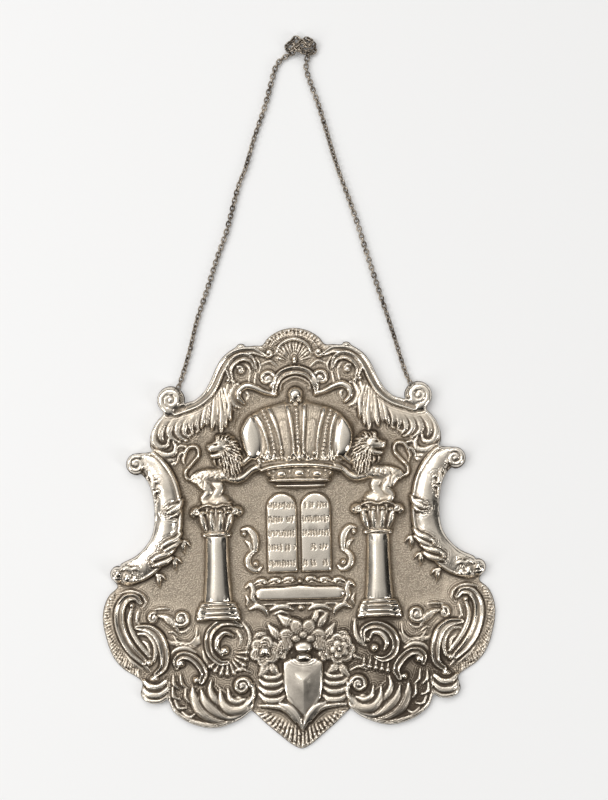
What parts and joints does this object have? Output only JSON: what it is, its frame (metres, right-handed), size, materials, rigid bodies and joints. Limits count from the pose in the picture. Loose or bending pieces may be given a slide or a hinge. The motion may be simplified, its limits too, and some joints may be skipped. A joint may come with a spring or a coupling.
{
  "type": "torah shield",
  "caption": "Embossed silver Torah shield with lions, a crown, columns and tablets, lying face up with its hanging chain.",
  "frame": {"origin": "on the plane of the shield's flat back, under the middle of the shield's bounding box", "axes": "+Y from the tail to the top crest, +Z out of the face, +X to the viewer's right"},
  "size_m": [0.3, 0.5447, 0.0143],
  "materials": {
    "shield_silver": "embossed silver, polished on the high forms, stippled and tarnished in the ground",
    "loop_silver": "drawn silver wire, dulled",
    "chain_silver": "tarnished silver wire links"
  },
  "bodies": {
    "root": {"shield": "shield_silver", "hanging_loop_left": "loop_silver", "hanging_loop_right": "loop_silver", "chain_left": "chain_silver", "chain_right": "chain_silver", "chain_slack": "chain_silver"}
  },
  "joints": []
}
